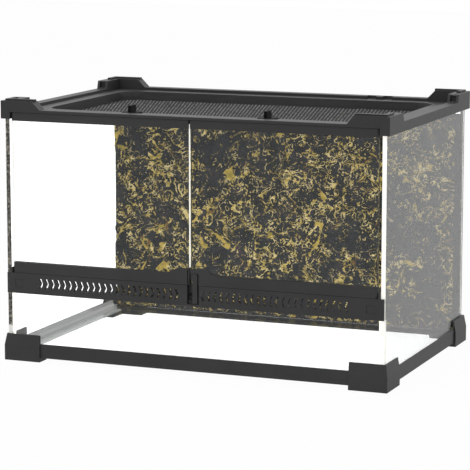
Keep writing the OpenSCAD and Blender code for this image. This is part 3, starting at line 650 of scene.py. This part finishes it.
def wireSheet(name, lengthwise):
    # Wires side by side. Along each wire the height is lift times cos(pi n) at its n-th crossing,
    # and the section is a square set on its corner.
    low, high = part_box("lid_mesh")
    centre = (low + high) / 2
    half = (high - low) / 2
    cornerRadius = weave["cornerRadius"]
    span, reach = (half.y, half.x) if lengthwise else (half.x, half.y)
    wires = int(2 * span / weave["pitch"])
    crossings = int(2 * reach / weave["pitch"])
    offset = (np.arange(wires) - (wires - 1) / 2) * weave["pitch"]
    # wires near the round corners of the tray are shorter
    into = np.clip(np.abs(offset) - (span - cornerRadius), 0, cornerRadius)
    halfLength = reach - cornerRadius + np.sqrt(np.maximum(cornerRadius ** 2 - into ** 2, 0))
    n = np.arange(crossings)
    along = (n / (crossings - 1) * 2 - 1)[None, :] * halfLength[:, None]
    sign = 1 if lengthwise else -1
    rise = sign * weave["lift"] * np.where((n[None, :] + np.arange(wires)[:, None]) % 2 == 0, 1.0, -1.0)
    side = np.array([1, 0, -1, 0]) * weave["wireRadius"]
    top = np.array([0, 1, 0, -1]) * weave["wireRadius"]
    a = np.repeat(along[:, :, None], 4, axis=2)
    b = offset[:, None, None] + side[None, None, :] + a * 0
    c = rise[:, :, None] + top[None, None, :] + a * 0
    points = np.stack([a, b, c] if lengthwise else [b, a, c], axis=-1).reshape(-1, 3)
    points = points + np.array(centre)
    k = np.arange(4)
    ring = np.arange(wires)[:, None, None] * crossings * 4 + np.arange(crossings - 1)[None, :, None] * 4
    quads = np.stack([ring + k, ring + (k + 1) % 4, ring + 4 + (k + 1) % 4, ring + 4 + k], axis=-1).reshape(-1, 4)
    if lengthwise:
        quads = quads[:, ::-1]
    first = np.arange(wires)[:, None] * crossings * 4 + k[None, :]
    last = first + (crossings - 1) * 4
    ends = np.concatenate([first[:, ::-1], last]) if not lengthwise else np.concatenate([first, last[:, ::-1]])
    faces = quads.tolist() + ends.tolist()
    return meshPiece(name, points, faces, "lid", wire, smooth=False)


warp = wireSheet("meshWarp", True)
weft = wireSheet("meshWeft", False)
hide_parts("lid_mesh")
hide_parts("lid_mesh")
print("lid mesh woven")


# studio

studio = {
    "target": (-0.0063, 0.0, 0.1338),
    "cameraPlace": (0.959, -2.403, 0.555),
    "lens": 175.0,
    "frontLight": 0.42,     # world strength seen from the front, where the camera stands
    "aroundLight": 0.62,
    "insideLight": 1.10,    # for what is lit through the glass
    "behindGlass": 1.8,     # white seen through the panes, which take up to half of it off
    "floorWhite": 0.97,
    "frontFloor": 0.42,     # floor as it mirrors in the doors, and in the right side
    "rearFloor": 0.62,
    "rearMirror": 1.0,      # rear of the tent, as the floor pane mirrors it
    "floorSize": 6.0,       # half the floor's side
    "floorTone": 0.86,
    "floorSpan": (-0.30, 0.02),  # Y over which the mirrored floor goes from front to rear
    "lampPlace": (-0.4, -0.3, 1.6),
    "lampAim": (0, 0, 0.15),
    "lampSize": 1.4,
    "lampPower": 9.0,
}


def placeCamera():
    # A long lens at the front right, a little above the tank.
    data = bpy.data.cameras.new("camera")
    data.lens = studio["lens"]
    data.sensor_width = 36.0
    data.clip_end = 50.0
    camera = bpy.data.objects.new("camera", data)
    bpy.context.scene.collection.objects.link(camera)
    camera.location = studio["cameraPlace"]
    look = Vector(studio["target"]) - Vector(studio["cameraPlace"])
    camera.rotation_euler = look.to_track_quat("-Z", "Y").to_euler()
    bpy.context.scene.camera = camera


def seenStraight(tree, rays):
    # 1 for what the eye meets directly or through panes, 0 once a surface has mirrored the ray
    sight = calculate(tree, "MAXIMUM", rays["Is Camera Ray"], rays["Is Transmission Ray"])
    return calculate(tree, "MULTIPLY", sight, calculate(tree, "SUBTRACT", 1.0, mirrored(tree, rays)))


def mirrored(tree, rays):
    # 1 once a surface has mirrored the ray: the smaller of its glossy depth and 1.
    return calculate(tree, "MINIMUM", rays["Glossy Depth"], 1.0)


def lightTent():
    # White all round for the camera and for what shines, and darker towards the front for its light:
    # strength falls from around to front with the direction's share of -Y.
    world = bpy.data.worlds.new("light tent")
    bpy.context.scene.world = world
    world.use_nodes = True
    tree = world.node_tree
    tree.nodes.clear()
    output = tree.nodes.new("ShaderNodeOutputWorld")
    way = addNode(tree, "ShaderNodeTexCoord").outputs["Generated"]
    parts = addNode(tree, "ShaderNodeSeparateXYZ", Vector=way)
    frontShare = fitSpan(tree, calculate(tree, "MULTIPLY", parts.outputs["Y"], -1.0), 0.35, 0.9)
    strength = tree.nodes.new("ShaderNodeMapRange")
    tree.links.new(frontShare, strength.inputs[0])
    strength.inputs[3].default_value = studio["aroundLight"]
    strength.inputs[4].default_value = studio["frontLight"]
    rays = addNode(tree, "ShaderNodeLightPath").outputs
    rearShare = calculate(tree, "MULTIPLY", fitSpan(tree, parts.outputs["Y"], 0.3, 0.9), mirrored(tree, rays))
    boost = calculate(tree, "MULTIPLY", rearShare, studio["rearMirror"] - studio["aroundLight"])
    around = addNode(tree, "ShaderNodeBackground", Strength=calculate(tree, "ADD", strength.outputs[0], boost))
    around.inputs[0].default_value = (1, 1, 1, 1)
    white = addNode(tree, "ShaderNodeBackground")
    white.inputs[0].default_value = (1, 1, 1, 1)
    seen = seenStraight(tree, rays)
    # 1 to the camera, behindGlass through a pane, insideLight once the ray has met a matt surface
    throughPane = calculate(tree, "MULTIPLY", rays["Is Transmission Ray"], studio["behindGlass"] - 1)
    onSight = calculate(tree, "ADD", 1.0, throughPane)
    bounced = calculate(tree, "MINIMUM", rays["Diffuse Depth"], 1.0)
    loss = calculate(tree, "MULTIPLY", bounced, studio["behindGlass"] - studio["insideLight"])
    tree.links.new(calculate(tree, "SUBTRACT", onSight, loss), white.inputs[1])
    mix = tree.nodes.new("ShaderNodeMixShader")
    tree.links.new(seen, mix.inputs[0])
    tree.links.new(around.outputs[0], mix.inputs[1])
    tree.links.new(white.outputs[0], mix.inputs[2])
    tree.links.new(mix.outputs[0], output.inputs[0])


def paleFloor():
    # White floor that shows a faint shadow.
    size = studio["floorSize"]
    mesh = bpy.data.meshes.new("floor")
    mesh.from_pydata([(-size, -size, 0), (size, -size, 0), (size, size, 0), (-size, size, 0)], [], [(0, 1, 2, 3)])
    floor = bpy.data.objects.new("floor", mesh)
    bpy.context.scene.collection.objects.link(floor)
    material, tree, output = newMaterial("pale floor")
    matte = addNode(tree, "ShaderNodeBsdfDiffuse")
    matte.inputs[0].default_value = (*[studio["floorTone"]] * 3, 1)
    rays = addNode(tree, "ShaderNodeLightPath").outputs
    parts = addNode(tree, "ShaderNodeSeparateXYZ", Vector=addNode(tree, "ShaderNodeTexCoord").outputs["Object"])
    behind = tree.nodes.new("ShaderNodeMapRange")
    for socket, value in zip(behind.inputs[1:5], (*studio["floorSpan"], studio["frontFloor"], studio["rearFloor"])):
        socket.default_value = value
    tree.links.new(parts.outputs["Y"], behind.inputs[0])
    # mirrored rays get the graded floor, all others plain white
    darker = calculate(tree, "MULTIPLY", mirrored(tree, rays), calculate(tree, "SUBTRACT", 1.0, behind.outputs[0]))
    seen = seenStraight(tree, rays)
    throughPane = calculate(tree, "MULTIPLY", seen, rays["Is Transmission Ray"])
    lift = calculate(tree, "MULTIPLY", throughPane, studio["behindGlass"] - 1)
    strength = calculate(tree, "SUBTRACT", calculate(tree, "ADD", 1.0, lift), darker)
    glow = addNode(tree, "ShaderNodeEmission", Strength=strength)
    share = calculate(tree, "MAXIMUM", calculate(tree, "MULTIPLY", seen, studio["floorWhite"]), mirrored(tree, rays))
    mix = tree.nodes.new("ShaderNodeMixShader")
    tree.links.new(share, mix.inputs[0])
    tree.links.new(matte.outputs[0], mix.inputs[1])
    tree.links.new(glow.outputs[0], mix.inputs[2])
    tree.links.new(mix.outputs[0], output.inputs[0])
    mesh.materials.append(material)


def softLamp(name, place, aim, size, power):
    # Square area lamp aimed at a point.
    data = bpy.data.lights.new(name, "AREA")
    data.size = size
    data.energy = power
    lamp = bpy.data.objects.new(name, data)
    bpy.context.scene.collection.objects.link(lamp)
    lamp.location = place
    lamp.rotation_euler = (Vector(aim) - Vector(place)).to_track_quat("-Z", "Y").to_euler()


placeCamera()
lightTent()
paleFloor()
softLamp("top lamp", studio["lampPlace"], studio["lampAim"], studio["lampSize"], studio["lampPower"])
bpy.context.scene.view_settings.view_transform = "Standard"
print("studio set")
